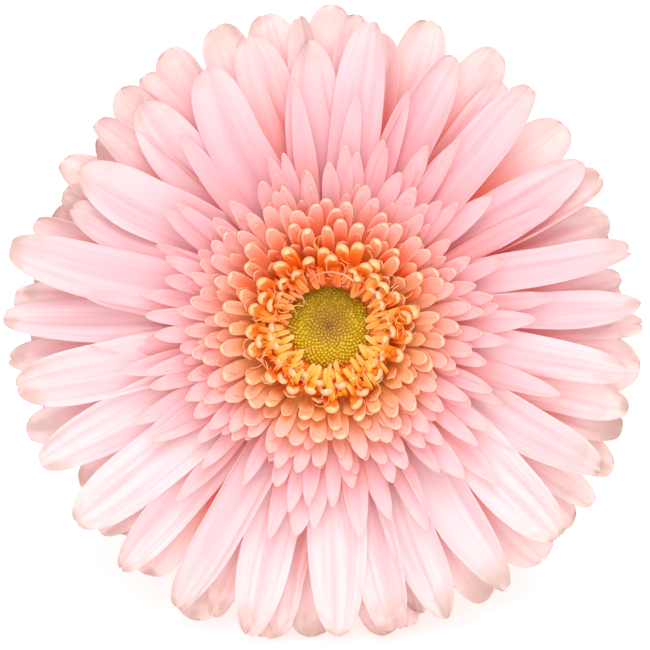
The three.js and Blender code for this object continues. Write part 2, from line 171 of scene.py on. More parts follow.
def ray_spine(node):
    """(azimuth, centre line, half width) of a ray petal's CAD solid, the line running along +y."""
    points = to_head(cad_points(node))
    reach = np.hypot(points[:, 0], points[:, 1])
    tip = points[reach > reach.max() - 0.3].mean(0)
    azimuth = math.degrees(math.atan2(tip[0], tip[1]))
    rings = stations(turn(points, -azimuth), 1, 0.6)
    line = np.array([(ring.min(0) + ring.max(0)) / 2 for ring in rings])
    half = max(np.ptp(ring[:, 0]) for ring in rings) / 2
    return azimuth, line, half


def crown_tips(node, nearest, apart):
    """[(azimuth, reach), ...] of the tips of a crown's CAD solid that lie further out than nearest and
    are further apart than that."""
    corners, which = cad_corners(node)
    points = to_head(corners)
    reach = np.hypot(points[:, 0], points[:, 1])
    furthest = reach.copy()
    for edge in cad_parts[node].data.edges:
        a, b = which[edge.vertices[0]], which[edge.vertices[1]]
        furthest[a] = max(furthest[a], reach[b])
        furthest[b] = max(furthest[b], reach[a])
    peaks = points[(reach >= furthest - 0.05) & (reach > nearest)]
    tips = []
    for peak in peaks[np.argsort(-np.hypot(peaks[:, 0], peaks[:, 1]))]:
        if all(np.hypot(*(peak[:2] - tip[:2])) > apart for tip in tips):
            tips.append(peak)
    return sorted((math.degrees(math.atan2(x, y)) % 360, math.hypot(x, y)) for x, y, _ in tips)


def layer_profile(node, nearest):
    """The height of a crown's CAD solid over the distance from the axis, as a smooth curve."""
    points = to_head(cad_points(node))
    reach = np.hypot(points[:, 0], points[:, 1])
    out = reach > nearest
    return np.poly1d(np.polyfit(reach[out], points[out, 2], 2))


# ---- shaping
def tone_and_top_shade(azimuth):
    """A number from 0 to 1 for how deep a floret's colour is: random tone, with painted shade
    that grows towards the top of the face.
    """
    # Painted shade: this share grows towards the top of the face.
    upper = 0.5 + 0.5 * math.cos(math.radians(azimuth))
    return 0.7 * upper + 0.3 * uniform()


def unit(vectors):
    """Vectors made 1 long."""
    return vectors / np.linalg.norm(vectors, axis=-1, keepdims=True)


def ease(value, start, end):
    """0 up to the start, 1 from the end on, and smooth between them."""
    share = np.clip((value - start) / (end - start), 0, 1)
    return share * share * (3 - 2 * share)


def even(count):
    """Shares that step evenly along a path."""
    return np.linspace(0, 1, count)


def rounded(body, end, start):
    """Shares along a path whose end is round from start on: even at first, then ever closer."""
    cap = start + (1 - start) * np.sin(np.linspace(0, math.pi / 2, end))
    return np.concatenate([np.linspace(0, start, body, endpoint=False), cap])


def resample(dense, shares):
    """A dense path sampled at shares of its length."""
    length = np.concatenate([[0], np.cumsum(np.linalg.norm(np.diff(dense, axis=0), axis=1))])
    return np.stack([np.interp(shares * length[-1], length, axis) for axis in dense.T], axis=1)


def curve_through(points, shares):
    """A smooth curve through points, sampled at shares of its length."""
    points = np.asarray(points, float)
    ends = np.vstack([2 * points[0] - points[1], points, 2 * points[-1] - points[-2]])
    u = np.linspace(0, 1, 12, endpoint=False)[:, None]
    spans = []
    for a, b, c, d in zip(ends, ends[1:], ends[2:], ends[3:]):
        bend = (2 * a - 5 * b + 4 * c - d) * u**2 + (3 * b - a - 3 * c + d) * u**3
        spans.append(0.5 * (2 * b + (c - a) * u + bend))
    return resample(np.vstack([*spans, points[-1:]]), shares)


def arc_share(path):
    """The share of a path's length at each of its points."""
    steps = np.linalg.norm(np.diff(path, axis=0), axis=1)
    return np.concatenate([[0], np.cumsum(steps)]) / steps.sum()


def steps_around(sides):
    """Angles in radians that step evenly around a section."""
    return np.arange(sides) * 2 * math.pi / sides


class Clump:
    """Small closed surfaces gathered into one mesh, with two maps.

    The map "blade" holds the share along a surface and the share across it. The map "place" holds
    two numbers of the whole surface: where it stands in its crown, and how deep its colour is, from
    random tone and from painted shade towards the top of the face.
    """

    def __init__(self):
        self.points, self.faces, self.blade, self.place = [], [], [], []
        self.count = 0

    def add(self, surface, azimuth, place):
        """Adds a surface, given as its points, faces and map, turned to an azimuth."""
        points, faces, blade = surface
        self.points.append(turn(points, azimuth))
        self.faces.extend([[corner + self.count for corner in face] for face in faces])
        self.blade.append(blade)
        self.place.append(np.broadcast_to(place, (len(points), 2)))
        self.count += len(points)

    def build(self, name, material, slot, *replaced):
        """Makes the mesh a piece of the flower's one body, in place of the replaced CAD nodes."""
        mesh = bpy.data.meshes.new(name)
        mesh.from_pydata(to_frame(np.vstack(self.points)).tolist(), [], self.faces)
        mesh.validate()
        corners = np.empty(len(mesh.loops), int)
        mesh.loops.foreach_get("vertex_index", corners)
        for title, parts in (("blade", self.blade), ("place", self.place)):
            layer = mesh.uv_layers.new(name=title)
            layer.data.foreach_set("uv", np.vstack(parts)[corners].ravel())
        mesh.shade_smooth()
        mesh.materials.append(material)
        piece = bpy.data.objects.new(name, mesh)
        scene.collection.objects.link(piece)
        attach(piece, "root")
        if replaced:
            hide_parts(*replaced)


def joined(*corners):
    """Faces from arrays of corner numbers, each face from one place in all of the arrays."""
    return np.stack(np.broadcast_arrays(*corners), axis=-1).reshape(-1, len(corners)).tolist()


def sheet_faces(rows, columns):
    """The faces of a thin closed sheet: a front grid, a back grid behind it, and the rim between."""
    grid = np.arange(rows * columns).reshape(rows, columns)
    back = grid.size
    a, b, c, d = grid[:-1, :-1], grid[:-1, 1:], grid[1:, 1:], grid[1:, :-1]
    cells = zip(joined(a, b, c, d), joined(back + a, back + d, back + c, back + b))
    rim = np.concatenate([grid[0], grid[1:, -1], grid[-1, -2::-1], grid[-2:0:-1, 0]])
    ahead = np.roll(rim, -1)
    return [face for cell in cells for face in cell] + joined(back + rim, back + ahead, ahead, rim)


def blade(path, share, half, thickness, cup=0.1, relief=None, advance=None, twist=0.0, columns=9):
    """Points, faces and map of a petal along a path that is sampled at these shares of its length.

    Half is its half width at each step, cup the angle in radians through which each half of its
    section bends up, relief its own unevenness and advance how much further on each point lies.
    """
    rows = len(path)
    tangent = unit(np.gradient(path, axis=0))
    across = unit(np.array([1.0, 0.0, 0.0]) - tangent * tangent[:, :1])
    normal = np.cross(across, tangent)
    roll = (twist * share)[:, None]
    across, normal = (
        across * np.cos(roll) + normal * np.sin(roll),
        normal * np.cos(roll) - across * np.sin(roll),
    )
    spread = 1.25  # brings the columns closer together towards both edges
    t = np.sin(np.linspace(-1, 1, columns) * spread) / math.sin(spread)
    bend = np.broadcast_to(cup, rows)[:, None] + 1e-3
    side = half[:, None] * np.sin(bend * t) / bend
    rise = half[:, None] * (1 - np.cos(bend * t)) / bend
    if relief is not None:
        rise = rise + relief(share[:, None], t[None, :])
    front = path[:, None] + across[:, None] * side[..., None] + normal[:, None] * rise[..., None]
    if advance is not None:
        front = front + tangent[:, None] * advance(share[:, None], t[None, :])[..., None]
    along = np.gradient(front[:, columns // 2], axis=0)[:, None]
    facing = unit(np.cross(np.gradient(front, axis=1), along + 0 * front))
    round_edge = np.sqrt(1 - 0.9 * t**2)
    thin_end = 1 - 0.6 * ease(share, 0.75, 1.0)
    depth = thickness * round_edge * thin_end[:, None]
    points = np.concatenate([front.reshape(-1, 3), (front - facing * depth[..., None]).reshape(-1, 3)])
    flat = np.stack(np.broadcast_arrays(share[:, None], (t[None, :] + 1) / 2), axis=-1).reshape(-1, 2)
    return points, sheet_faces(rows, columns), np.concatenate([flat, flat])


def tube(path, radius, sides=8, reference=(1.0, 0.0, 0.0), relief=1.0):
    """Points, faces and map of a closed rod along a path. Relief is a factor on its radius at each
    of its sides."""
    rows = len(path)
    out = np.broadcast_to(radius, rows)[:, None] * relief
    tangent = unit(np.gradient(path, axis=0))
    across = unit(np.array(reference) - tangent * (tangent @ np.array(reference))[:, None])
    normal = np.cross(across, tangent)
    angle = steps_around(sides)
    points = (
        path[:, None]
        + across[:, None] * (out * np.cos(angle))[..., None]
        - normal[:, None] * (out * np.sin(angle))[..., None]
    ).reshape(-1, 3)
    ring = np.arange(rows * sides).reshape(rows, sides)
    ahead = np.roll(ring, -1, axis=1)
    faces = joined(ring[:-1], ahead[:-1], ahead[1:], ring[1:])
    faces += [ring[0, ::-1].tolist(), ring[-1].tolist()]
    share = np.repeat(arc_share(path), sides)
    around = np.tile(np.arange(sides) / sides, rows)
    return points, faces, np.stack([share, around], axis=1)


def turned(profile, sides, flat=(0.0, 0.0)):
    """Points, faces and map of a closed surface turned about the axis. The profile of (distance,
    height) starts on the axis at its low end, goes outward and comes back to the axis above."""
    angle = steps_around(sides)
    rings = [
        np.stack([d * np.sin(angle), d * np.cos(angle), np.full(sides, h)], axis=1)
        for d, h in profile[1:-1]
    ]
    points = np.vstack([[(0, 0, profile[0][1])], *rings, [(0, 0, profile[-1][1])]])
    ring = 1 + np.arange(len(rings) * sides).reshape(-1, sides)
    ahead = np.roll(ring, -1, axis=1)
    faces = joined(0, ring[0], ahead[0])
    faces += joined(ring[:-1], ring[1:], ahead[1:], ahead[:-1])
    faces += joined(ahead[-1], ring[-1], len(points) - 1)
    return points, faces, np.broadcast_to(flat, (len(points), 2))


def map_span(surface, low, high):
    """A surface whose map runs from low to high along it, rather than from 0 to 1."""
    points, faces, flat = surface
    return points, faces, flat * (high - low, 1) + (low, 0)


# ---- materials
def colour(red, green, blue):
    """A colour given as it looks on a screen, 0 to 255, in the linear values that shaders take."""
    values = [
        v / 12.92 if v <= 0.04045 else ((v + 0.055) / 1.055) ** 2.4
        for v in (red / 255, green / 255, blue / 255)
    ]
    return (*values, 1.0)


class Graph:
    """A material's node tree, built step by step."""

    def __init__(self, name):
        self.material = bpy.data.materials.new(name)
        self.material.use_nodes = True
        self.tree = self.material.node_tree
        self.tree.nodes.clear()

    def node(self, kind, settings=None, *values, **named):
        """A node with its settings, and with values or sockets for its inputs, in order or named."""
        made = self.tree.nodes.new("ShaderNode" + kind)
        for title, value in (settings or {}).items():
            setattr(made, title, value)
        for socket, value in zip(made.inputs, values):
            self.feed(socket, value)
        for title, value in named.items():
            self.feed(made.inputs[title.replace("_", " ")], value)
        return made

    def feed(self, socket, value):
        """Links an input to another node's output, or gives it a value of its own."""
        if isinstance(value, bpy.types.NodeSocket):
            self.tree.links.new(value, socket)
        else:
            socket.default_value = value

    def map(self, title):
        """The two values of one of the mesh's maps, as sockets."""
        uv = self.node("UVMap", {"uv_map": title}).outputs["UV"]
        split = self.node("SeparateXYZ", Vector=uv)
        return split.outputs["X"], split.outputs["Y"]

    def ramp(self, value, stops):
        """A colour over a value, from stops of (position, red, green, blue)."""
        made = self.node("ValToRGB", Fac=value)
        elements = made.color_ramp.elements
        while len(elements) < len(stops):
            elements.new(0.5)
        for element, (position, *shade) in zip(elements, stops):
            element.position = position
            element.color = colour(*shade)
        return made.outputs["Color"]

    def fade(self, value, start, end, low=0.0, high=1.0):
        """A number that goes smoothly from low to high as a value goes from start to end."""
        made = self.node("MapRange", {"interpolation_type": "SMOOTHSTEP"}, Value=value,
                         From_Min=start, From_Max=end, To_Min=low, To_Max=high)
        return made.outputs["Result"]

    def mix(self, share, first, second):
        """The first colour, with a share of the second. Each is a socket or (red, green, blue)."""
        made = self.node("Mix", {"data_type": "RGBA"}, share)
        for place, shade in ((6, first), (7, second)):
            self.feed(made.inputs[place], colour(*shade) if isinstance(shade, tuple) else shade)
        return made.outputs[2]

    def math(self, operation, first, second=0.0):
        return self.node("Math", {"operation": operation}, first, second).outputs[0]

    def times(self, first, second):
        return self.math("MULTIPLY", first, second)

    def streaks(self, along, across, seed, stretch, fineness):
        """Noise drawn out along a petal, different for each seed."""
        x = self.times(along, stretch)
        y = self.times(across, fineness)
        z = self.times(seed, 40.0)
        return self.noise(self.node("CombineXYZ", X=x, Y=y, Z=z).outputs[0], 1.0)

    def edge(self, across):
        """0 along the middle of a blade and 1 at both its edges."""
        return self.math("ABSOLUTE", self.math("SUBTRACT", self.times(across, 2.0), 1.0))

    def front(self):
        """1 where a surface looks the way the face does, and 0 where it looks back."""
        normal = self.node("NewGeometry").outputs["Normal"]
        dot = self.node("VectorMath", {"operation": "DOT_PRODUCT"}, normal, tuple(FACE))
        return self.fade(dot.outputs["Value"], -0.15, 0.15)

    def noise(self, vector, scale, detail=2.0):
        return self.node("TexNoise", Vector=vector, Scale=scale, Detail=detail).outputs["Fac"]

    def bump(self, height, strength, distance):
        made = self.node("Bump", Height=height, Strength=strength, Distance=distance)
        return made.outputs["Normal"]

    def finish(self, base, roughness, normal=None, translucency=0.0, through=None, specular=0.5,
               **more):
        """Ends in a Principled shader, with some of the light let through where it is thin."""
        shader = self.node("BsdfPrincipled", Base_Color=base, Roughness=roughness,
                           Specular_IOR_Level=specular, **more)
        if normal is not None:
            self.feed(shader.inputs["Normal"], normal)
        result = shader.outputs[0]
        if translucency:
            glow = self.node("BsdfTranslucent", Color=base if through is None else through)
            result = self.node("MixShader", {}, translucency, result, glow.outputs[0]).outputs[0]
        self.node("OutputMaterial", Surface=result)
        return self.material


def ray_material():
    """Pale pink, coral at the claw, with soft folds along the petal and an ashen end. Painted shade
    makes the folds mauve, the lower parts of the back whorls coral, the top of the face pinker and
    part of the ashen end; painted light makes the back whorls paler.
    """
    g = Graph("ray_petal")
    along, across = g.map("blade")
    depth, tone_and_top_shade = g.map("place")
    base = g.ramp(along, [
        (0.0, 248, 154, 124), (0.14, 249, 196, 190), (0.26, 249, 228, 232), (0.42, 249, 242, 246),
        (0.65, 248, 240, 243), (0.92, 246, 235, 235), (1.0, 246, 229, 225),
    ])
    # Pinker towards the top of the face, less so at the ends: random pink plus painted shade.
    blush_and_top_shade = g.times(g.fade(tone_and_top_shade, 0.15, 1.0, 0.0, 0.75), g.fade(along, 1.0, 0.45, 0.35, 1.0))
    pinker = g.mix(blush_and_top_shade, base, (247, 197, 208))
    # Painted light: the middle and back whorls are made paler to lift them out of the shade they lie
    # in.
    paler = g.mix(g.times(depth, 0.6), pinker, (251, 237, 234))
    # Painted shade: coral on the lower parts of the middle and back whorls, which show in the gaps
    # between front petals; weaker on the sides that look back.
    painted_gap_shade = g.times(depth, g.fade(along, 0.85, 0.35, 0.0, 1.0))
    shaded = g.times(painted_gap_shade, g.fade(g.front(), 0.0, 1.0, 0.22, 1.0))
    warmer = g.mix(shaded, paler, (253, 152, 122))
    veins = g.streaks(along, across, tone_and_top_shade, 1.2, 14.0)
    veined = g.mix(g.fade(veins, 0.48, 0.7, 0.0, 0.2), warmer, (244, 184, 196))
    folds = g.streaks(along, across, tone_and_top_shade, 0.9, 5.0)
    # Painted shade: greyish mauve along the folds, weaker towards the end; the same noise bumps the
    # surface.
    fold_shade = g.times(g.fade(folds, 0.46, 0.68, 0.0, 0.36), g.fade(along, 1.0, 0.7, 0.4, 1.0))
    fold_shaded = g.mix(fold_shade, veined, (236, 184, 194))
    # Greyish patches at the ends, stronger towards the bottom of the face: partly withered tips,
    # partly painted shade.
    patches = g.streaks(along, across, tone_and_top_shade, 9.0, 1.5)
    end = g.times(g.fade(along, 0.82, 1.0), g.fade(patches, 0.42, 0.6))
    ashen = g.mix(g.times(end, g.fade(tone_and_top_shade, 0.9, 0.3, 0.35, 0.8)), fold_shaded, (218, 194, 184))
    through = g.mix(g.fade(along, 0.8, 0.25, 0.1, 0.45), ashen, (255, 182, 154))
    return g.finish(ashen, 0.75, normal=g.bump(folds, 0.28, 0.0006), translucency=0.42,
                    through=through, specular=0.1)


def crest_material():
    """Orange by the disc, through coral to pink, each floret paler to its tip, with a cream lip.
    Painted shade darkens the orange low on the inner florets and pinks the outer ones towards the top
    of the face; the pale rim and the lip are partly a painted highlight.
    """
    g = Graph("crest_petal")
    along, across = g.map("blade")
    outward, tone_and_top_shade = g.map("place")
    near = g.ramp(along, [
        (0.0, 255, 212, 96), (0.5, 255, 220, 112), (0.72, 255, 226, 146), (0.88, 255, 228, 190),
        (1.0, 255, 240, 214),
    ])
    between = g.ramp(along, [
        (0.0, 255, 206, 120), (0.5, 255, 220, 166), (0.72, 255, 226, 210), (0.86, 255, 232, 234),
        (1.0, 255, 238, 236),
    ])
    far = g.ramp(along, [
        (0.0, 250, 170, 142), (0.45, 252, 212, 212), (0.68, 252, 228, 236), (0.86, 252, 235, 241),
        (1.0, 253, 236, 239),
    ])
    base = g.mix(g.fade(outward, 0.08, 0.36), near, between)
    base = g.mix(g.fade(outward, 0.26, 0.62), base, far)
    # Painted shade: darker orange low on the inner florets towards the top of the face, with some
    # random tone.
    low = g.times(g.fade(tone_and_top_shade, 0.5, 0.9), g.fade(along, 1.0, 0.6))
    deep = g.times(low, g.fade(outward, 0.55, 0.2))
    deeper_shaded = g.mix(deep, base, (255, 130, 54))
    # Pinker outer florets towards the top of the face: random tone plus painted shade.
    pinker = g.mix(g.times(tone_and_top_shade, g.fade(outward, 0.3, 0.7, 0.0, 0.3)), deeper_shaded, (249, 190, 204))
    veins = g.streaks(along, across, tone_and_top_shade, 1.0, 9.0)
    veined = g.mix(g.fade(veins, 0.5, 0.8, 0.0, 0.25), pinker, (255, 146, 112))
    # A pale rim along the edges and a cream lip at the end, strongest on the inner florets: partly a
    # real pale margin, partly a painted highlight.
    sides = g.times(g.fade(g.edge(across), 0.8, 0.97), g.fade(along, 0.3, 0.8))
    lip = g.fade(g.math("ADD", along, g.times(outward, -0.14)), 0.86, 0.9)
    rim = g.math("MAXIMUM", g.times(sides, 0.75), lip)
    cream = g.mix(g.fade(outward, 0.2, 0.5), (255, 246, 208), (255, 238, 234))
    pale = g.mix(g.times(rim, g.fade(outward, 0.1, 0.6, 0.95, 0.7)), veined, cream)
    warmth = g.fade(outward, 0.1, 0.6, 0.4, 0.2)
    through = g.mix(warmth, pale, (255, 180, 120))
    return g.finish(pale, 0.45, normal=g.bump(veins, 0.35, 0.0004), translucency=0.54,
                    through=through, specular=0.4)


def knob_material():
    """Orange florets whose swollen ends are a glossy cream yellow, with painted shade: darker orange
    on their bodies towards the top of the face, and along their folds.
    """
    g = Graph("knob_floret")
    along, across = g.map("blade")
    outward, tone_and_top_shade = g.map("place")
    base = g.ramp(along, [
        (0.0, 255, 144, 20), (0.4, 255, 162, 36), (0.68, 255, 178, 58), (0.78, 255, 196, 92),
        (0.84, 255, 240, 164), (1.0, 255, 250, 204),
    ])
    pinker = g.mix(g.times(outward, 0.2), base, (255, 160, 116))
    # Painted shade: darker orange on the bodies towards the top of the face, with some random tone.
    low = g.times(g.fade(tone_and_top_shade, 0.35, 0.95), g.fade(along, 0.82, 0.66))
    deeper_shaded = g.mix(low, pinker, (255, 130, 26))
    # Painted shade: darker orange along the folds; the same noise bumps the surface.
    folds = g.streaks(along, across, tone_and_top_shade, 1.5, 7.0)
    shaded = g.mix(g.fade(folds, 0.5, 0.8, 0.0, 0.3), deeper_shaded, (255, 140, 40))
    through = g.mix(0.4, shaded, (255, 150, 60))
    return g.finish(shaded, 0.32, normal=g.bump(folds, 0.4, 0.0004), translucency=0.5,
                    through=through, specular=0.55)


def star_material():
    """Yellow orange at the mouth of the open florets, with paler lobes; painted shade darkens the
    orange towards the top of the face.
    """
    g = Graph("open_floret")
    along, _ = g.map("blade")
    _, tone_and_top_shade = g.map("place")
    base = g.ramp(along, [
        (0.0, 255, 144, 8), (0.4, 255, 164, 16), (0.8, 255, 178, 36), (1.0, 255, 202, 80),
    ])
    # Darker orange towards the top of the face: random tone plus painted shade.
    varied = g.mix(g.times(tone_and_top_shade, 0.75), base, (252, 104, 14))
    return g.finish(varied, 0.4, translucency=0.48)


def hooked_material():
    """Pale orange, cream at the tip. Painted shade darkens the orange towards the top of the face, and
    the cream tip and pale rim are partly a painted highlight.
    """
    g = Graph("hooked_floret")
    along, across = g.map("blade")
    _, tone_and_top_shade = g.map("place")
    # The cream end is partly real colour, partly a painted highlight.
    base = g.ramp(along, [
        (0.0, 255, 158, 10), (0.45, 255, 176, 24), (0.75, 255, 200, 62), (0.93, 255, 216, 112),
        (1.0, 255, 224, 160),
    ])
    # Darker orange towards the top of the face: random tone plus painted shade.
    warmer = g.mix(g.fade(tone_and_top_shade, 0.25, 0.95, 0.0, 0.85), base, (244, 102, 18))
    # A pale rim along the edges towards the end: partly a real pale margin, partly a painted
    # highlight.
    rim = g.times(g.fade(g.edge(across), 0.6, 0.95), g.fade(along, 0.5, 0.9))
    rimmed = g.mix(g.times(rim, 0.45), warmer, (255, 226, 160))
    return g.finish(rimmed, 0.38, translucency=0.42)


def style_material():
    """Coral to yellow threads."""
    g = Graph("style")
    along, _ = g.map("blade")
    _, tone_and_top_shade = g.map("place")
    base = g.ramp(along, [(0.0, 240, 130, 90), (0.6, 246, 160, 130), (1.0, 252, 206, 160)])
    varied = g.mix(g.fade(tone_and_top_shade, 0.2, 0.8), base, (250, 184, 90))
    return g.finish(varied, 0.4, translucency=0.2)


def bud_material():
    """Olive yellow buds, with an ochre ring and a tan middle that darkens to a pit; painted shade
    darkens the olive towards the top of the face.
    """
    g = Graph("disc_bud")
    along, _ = g.map("blade")
    outward, tone_and_top_shade = g.map("place")
    base = g.ramp(outward, [
        (0.0, 128, 80, 26), (0.08, 164, 108, 34), (0.24, 194, 138, 40), (0.42, 202, 152, 32),
        (0.6, 216, 176, 14), (0.85, 230, 194, 8), (1.0, 234, 192, 10),
    ])
    tipped = g.mix(g.fade(along, 0.35, 0.85, 0.0, 0.5), base, (238, 208, 70))
    # Darker olive towards the top of the face, more so towards the edge of the dome: random tone plus
    # painted shade.
    varied = g.mix(g.fade(tone_and_top_shade, 0.3, 0.9, 0.0, 0.75), tipped, (126, 78, 4))
    return g.finish(varied, 0.5, translucency=0.15, specular=0.3)


def bract_material():
    """Downy green, darker and a little purple at the bract tips."""
    g = Graph("bract")
    along, across = g.map("blade")
    _, tone_and_top_shade = g.map("place")
    base = g.ramp(along, [
        (0.0, 146, 168, 92), (0.5, 112, 142, 66), (0.86, 92, 118, 58), (1.0, 104, 84, 70),
    ])
    varied = g.mix(g.times(tone_and_top_shade, 0.4), base, (136, 156, 76))
    veins = g.streaks(along, across, tone_and_top_shade, 2.0, 16.0)
    veined = g.mix(g.fade(veins, 0.4, 0.7, 0.0, 0.5), varied, (78, 106, 46))
    return g.finish(veined, 0.62, normal=g.bump(veins, 0.4, 0.0004), Sheen_Weight=0.35)


def stalk_material():
    """Downy green with fine ribs, warmer towards the head."""
    g = Graph("stalk")
    along, around = g.map("blade")
    base = g.ramp(along, [
        (0.0, 138, 140, 78), (0.08, 124, 142, 68), (0.3, 106, 136, 58), (0.7, 98, 130, 54),
        (0.97, 120, 146, 74), (1.0, 172, 188, 124),
    ])
    veins = g.streaks(along, around, 0.5, 14.0, 30.0)
    veined = g.mix(g.fade(veins, 0.35, 0.65, 0.0, 0.5), base, (74, 104, 38))
    patches = g.streaks(along, around, 0.2, 24.0, 3.0)
    mottled = g.mix(g.fade(patches, 0.45, 0.65, 0.0, 0.35), veined, (146, 160, 84))
    return g.finish(mottled, 0.58, normal=g.bump(veins, 0.7, 0.0005), Sheen_Weight=0.3)


def flesh_material():
    """The receptacle's soft orange flesh."""
    g = Graph("flesh")
    place = g.node("TexCoord").outputs["Object"]
    speckle = g.noise(place, 900.0, 3.0)
    base = g.mix(speckle, (255, 148, 30), (255, 170, 48))
    return g.finish(base, 0.7, normal=g.bump(speckle, 0.3, 0.0003))


# ---- ray petals
def round_end(share, start, blunt, end_width):
    """A factor on the half width of a tongue whose end is rounded from start on: an ellipse when
    blunt is 2, more pointed below that and blunter above it."""
    end = np.clip((share - start) / (1 - start), 0, 1)
    return end_width + (1 - end_width) * np.maximum(1 - end**blunt, 0) ** (1 / blunt)


def corner_fall(t):
    """How far a rounded end falls back over its width: nothing in the middle, most at the edges."""
    return 1 - np.sqrt(1 - 0.95 * t**2)


def ray_relief(creases, waves, curl):
    """Creases along a ray petal, slow waves along its two edges, and edges that roll at the end."""

    def relief(share, t):
        run = ease(share, 0.05, 0.3) * (1 - 0.6 * ease(share, 0.75, 1.0))
        folds = sum(depth * np.exp(-(((t - place) / wide) ** 2)) for place, depth, wide in creases)
        height = -run * folds + curl * t**2 * ease(share, 0.6, 1.0)
        for side, (size, pace, phase) in zip((-1, 1), waves):
            edge = np.clip(side * t, 0, 1) ** 2
            height = height + size * edge * ease(share, 0.1, 0.5) * np.sin(pace * share + phase)
        return height

    return relief


def ray_end(half, notches):
    """How far a ray petal's end reaches on: round at its corners, and notched."""

    def advance(share, t):
        cut = sum(depth * np.exp(-(((t - place) / 0.2) ** 2)) for place, depth in notches)
        return -0.55 * half * corner_fall(t) * ease(share, 0.84, 1.0) - cut * ease(share, 0.9, 1.0)

    return advance


def add_ray(clump, azimuth, line, half, depth):
    """One ray petal along its centre line: a claw that widens slowly, and a rounded end. Depth is 0
    in the front whorl and 1 in the back one, whose petals are blunter."""
    start = uniform(0.56, 0.78) + 0.08 * depth
    share = rounded(22, 10, start)
    path = curve_through(line, share)
    path[:, 2] += uniform(-0.7, 0.9) * share**4 + uniform(-0.6, 0.6) * np.sin(math.pi * share)
    path[:, 0] += uniform(-1.1, 1.1) * np.sin(math.pi * share)
    claw = uniform(0.55, 0.68)
    end_width = uniform(0.1, 0.28) + 0.06 * depth
    blunt = uniform(1.7, 2.2) + 0.2 * depth
    body = claw + (1 - claw) * ease(share, -0.15, 0.58)
    width = half * body * round_end(share, start, blunt, end_width)
    creases = [
        (uniform(-0.6, 0.6), uniform(0.2, 0.9), uniform(0.14, 0.34))
        for _ in range(rng.integers(1, 4))
    ]
    waves = [(uniform(0.1, 1.5), uniform(5, 11), uniform(0, 6.3)) for _ in range(2)]
    relief = ray_relief(creases, waves, uniform(-0.6, 1.1))
    notches = [(uniform(-0.5, 0.5), uniform(0.0, 0.55)) for _ in range(rng.integers(0, 3))]
    rolled = uniform() < 0.2
    cup = uniform(0.8, 1.2) if rolled else uniform(-0.3, 0.6)
    petal = blade(
        path, share, width, RAY_THICKNESS, cup=cup, relief=relief,
        advance=ray_end(half * end_width, notches), twist=uniform(-0.45, 0.45), columns=23)
    clump.add(petal, azimuth, (depth, tone_and_top_shade(azimuth)))


def make_rays():
    """The ray petals: one piece each in the front and middle whorls, and one for the back whorl."""
    material = ray_material()
    for whorl, depth in (("front", 0.0), ("middle", 0.5)):
        for node in sorted(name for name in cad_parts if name.startswith(f"ray_{whorl}")):
            azimuth, line, half = ray_spine(node)
            clump = Clump()
            add_ray(clump, azimuth, line, min(RAY_SPREAD * half, RAY_HALF_LIMIT), depth)
            clump.build(f"ray_petal_{node[4:]}", material, "ray_petal", node)
    back = Clump()
    profile = layer_profile("ray_florets_back", 16.0)
    for azimuth, reach in crown_tips("ray_florets_back", 45.0, 2.6):
        distance = np.linspace(13.2, reach, 7)
        lift = 1.2 * (distance - distance[0]) / np.ptp(distance)
        line = np.stack([0 * distance, distance, profile(distance) + lift], axis=1)
        add_ray(back, azimuth, line, uniform(4.8, 5.6), 1.0)
    back.build("ray_petals_back", material, "ray_petal", "ray_florets_back")


# ---- crest florets
def crest_height(distance):
    """The height of the florets' tips over the distance from the axis: the crest of the flower."""
    if distance < CREST_PEAK:
        return 11.7 - 0.022 * (distance - CREST_PEAK) ** 2
    return 8.2 + 3.5 * math.exp(-(((distance - CREST_PEAK) / 12) ** 2))


def crown_lean(azimuth):
    """How much nearer to the axis a floret's foot stands, since all feet lie further down the face."""
    return CROWN_LEAN * math.cos(math.radians(azimuth))


def crest_outline(share, start, blunt, end_width):
    """A factor on the half width over the length of a crest floret."""
    return (0.62 + 0.38 * ease(share, 0.05, 0.7)) * round_end(share, start, blunt, end_width)


def rising_path(foot, tip, slope, shares):
    """A path in the y-z plane from a foot to a tip, which it reaches at a slope in radians."""
    foot, tip = np.array([0.0, *foot]), np.array([0.0, *tip])
    length = np.linalg.norm(tip - foot)
    start = foot + np.array([0.0, 0.34, 0.1]) * length
    arrival = tip - np.array([0.0, math.cos(slope), math.sin(slope)]) * 0.42 * length
    u = np.linspace(0, 1, 60)[:, None]
    out = (1 - u) ** 3 * foot + 3 * u * (1 - u) ** 2 * start
    back = 3 * u**2 * (1 - u) * arrival + u**3 * tip
    return resample(out + back, shares)


def curl_up(path, share, start, angle):
    """Bends the end of a path towards +z, from a share of its length on."""
    step = np.diff(path, axis=0)
    bend = angle * ease(share[1:], start, 1.0)
    y = step[:, 1] * np.cos(bend) - step[:, 2] * np.sin(bend)
    z = step[:, 1] * np.sin(bend) + step[:, 2] * np.cos(bend)
    bent = np.stack([step[:, 0], y, z], axis=1)
    return np.vstack([path[:1], path[0] + np.cumsum(bent, axis=0)])


